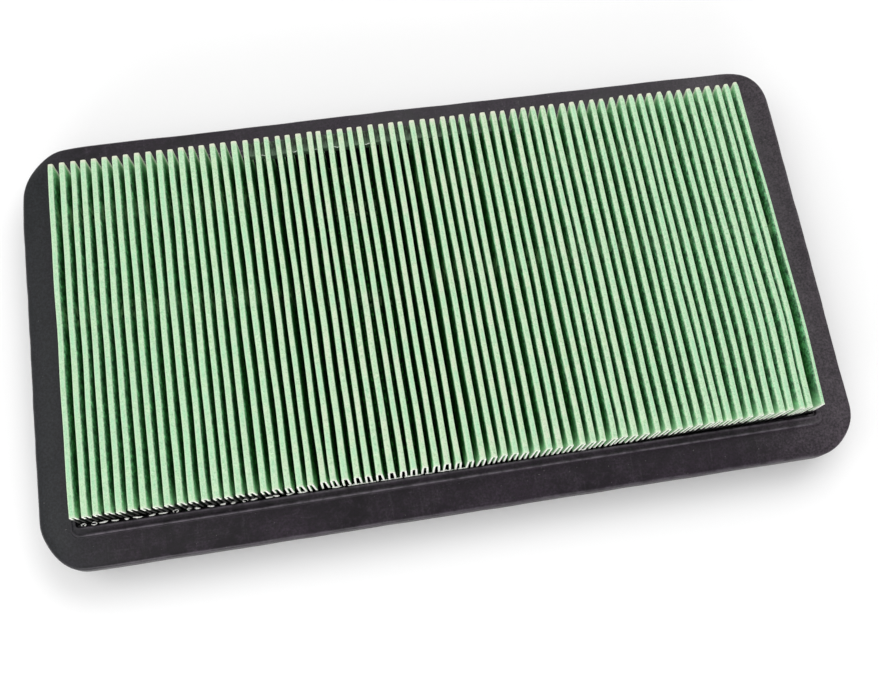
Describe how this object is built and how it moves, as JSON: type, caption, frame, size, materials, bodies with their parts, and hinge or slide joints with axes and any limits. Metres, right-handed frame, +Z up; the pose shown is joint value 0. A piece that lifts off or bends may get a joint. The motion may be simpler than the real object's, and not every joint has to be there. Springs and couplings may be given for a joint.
{
  "type": "pleated panel air filter element",
  "caption": "Rectangular pleated paper air filter panel in a dark moulded rubber-like frame with rounded corners and a flat sealing flange.",
  "frame": {"origin": "centre of the element's footprint, on the plane that the skirt's rim rests on", "axes": "+X along the row of pleats, the longest side; +Y along the folds; +Z up through the dirty-air face"},
  "size_m": [0.2466, 0.134, 0.0265],
  "materials": {
    "polyurethane": "matte moulded polyurethane, charcoal",
    "filter_paper": "green resin-treated filter paper, fibrous and matte, with cream cut edges",
    "hot_melt": "translucent off-white hot-melt glue"
  },
  "bodies": {
    "root": {"seal_frame": "polyurethane", "pleated_media": "filter_paper", "edge_seal_near": "hot_melt", "edge_seal_far": "hot_melt", "spacer_bead_near": "hot_melt", "spacer_bead_centre": "hot_melt", "spacer_bead_far": "hot_melt"}
  },
  "joints": []
}
